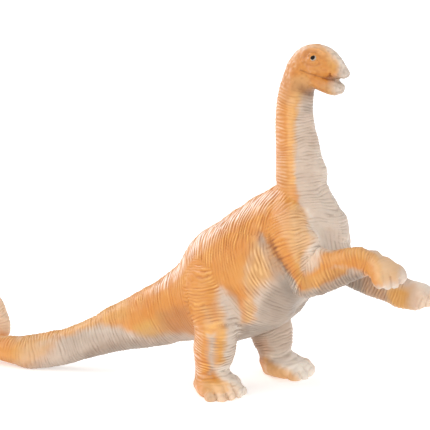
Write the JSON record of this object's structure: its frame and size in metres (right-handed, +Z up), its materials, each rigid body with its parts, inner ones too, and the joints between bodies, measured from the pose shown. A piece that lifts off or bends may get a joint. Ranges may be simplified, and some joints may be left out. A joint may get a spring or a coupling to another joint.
{
  "type": "toy dinosaur figure",
  "caption": "Toy long-necked dinosaur that rears on its hind legs, forelegs raised, propped on a tail with a curled tip.",
  "frame": {"origin": "middle of the figure's footprint, on the surface that it stands on", "axes": "+X forward, the way the head looks; +Y to the animal's left; +Z up"},
  "size_m": [0.383, 0.1082, 0.2559],
  "materials": {
    "sprayed_vinyl": "soft cream vinyl with a soft-edged orange spray along the back, flanks and limbs, satin sheen",
    "bare_vinyl": "soft cream vinyl with little or no spray, satin sheen"
  },
  "bodies": {
    "root": {"torso_left_shell": "sprayed_vinyl", "torso_right_shell": "sprayed_vinyl", "neck": "sprayed_vinyl", "head": "sprayed_vinyl", "lower_jaw": "bare_vinyl", "left_foreleg": "sprayed_vinyl", "right_foreleg": "sprayed_vinyl", "left_hind_leg": "bare_vinyl", "right_hind_leg": "sprayed_vinyl", "tail": "sprayed_vinyl", "tail_curl": "sprayed_vinyl"}
  },
  "joints": []
}
